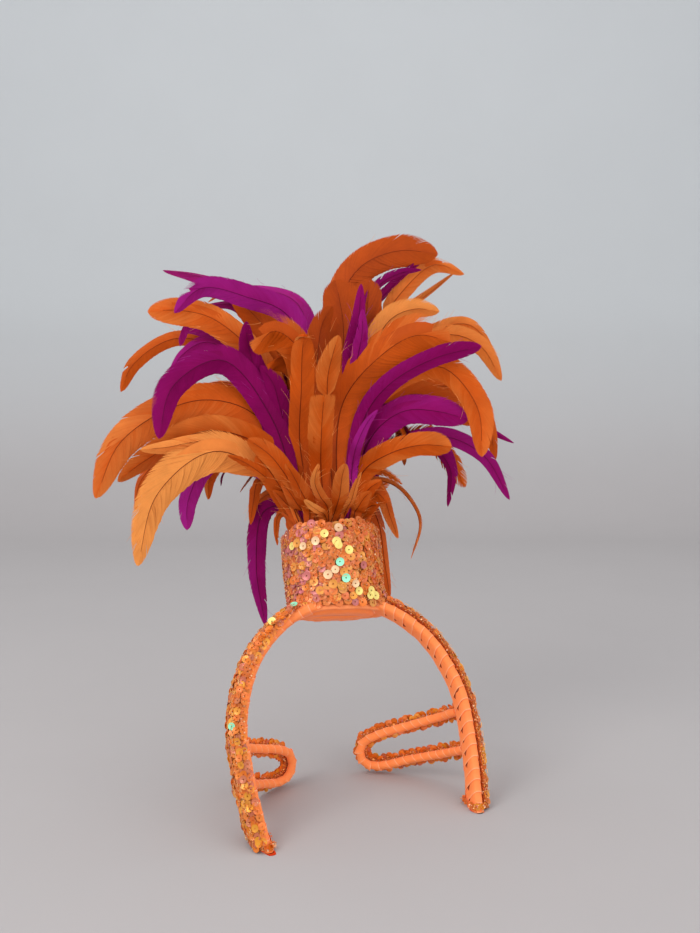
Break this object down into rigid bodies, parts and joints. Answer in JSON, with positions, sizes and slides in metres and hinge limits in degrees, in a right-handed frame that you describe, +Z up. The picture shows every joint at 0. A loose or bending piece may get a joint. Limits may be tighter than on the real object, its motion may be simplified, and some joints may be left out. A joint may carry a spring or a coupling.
{
  "type": "feather headdress",
  "caption": "Arch headdress worn from ear to ear, with wire loops that hug the head, a sequin cuff on the crown and a fountain of drooping tail feathers.",
  "frame": {"origin": "on the table, under the middle of the whole headdress", "axes": "+Z up, +Y towards the back of the head, +X towards the wearer's left"},
  "size_m": [0.318, 0.2258, 0.4001],
  "materials": {
    "ribbon_band": "neon orange woven ribbon over a stiff plastic arch",
    "ribbon_wire": "neon orange woven ribbon wound round wire",
    "sequin_braid": "braid with glitter thread and orange and gold sequins",
    "sequin_cloth": "cloth covered in flat round sequins",
    "feather": "dyed tail feathers with a soft sheen"
  },
  "bodies": {
    "root": {"headband": "ribbon_band", "band_trim_left": "sequin_braid", "band_trim_right": "sequin_braid", "loop_left": "ribbon_wire", "loop_right": "ribbon_wire", "loop_trim_left": "sequin_braid", "loop_trim_right": "sequin_braid", "cuff": "sequin_cloth", "plume": "feather"}
  },
  "joints": []
}
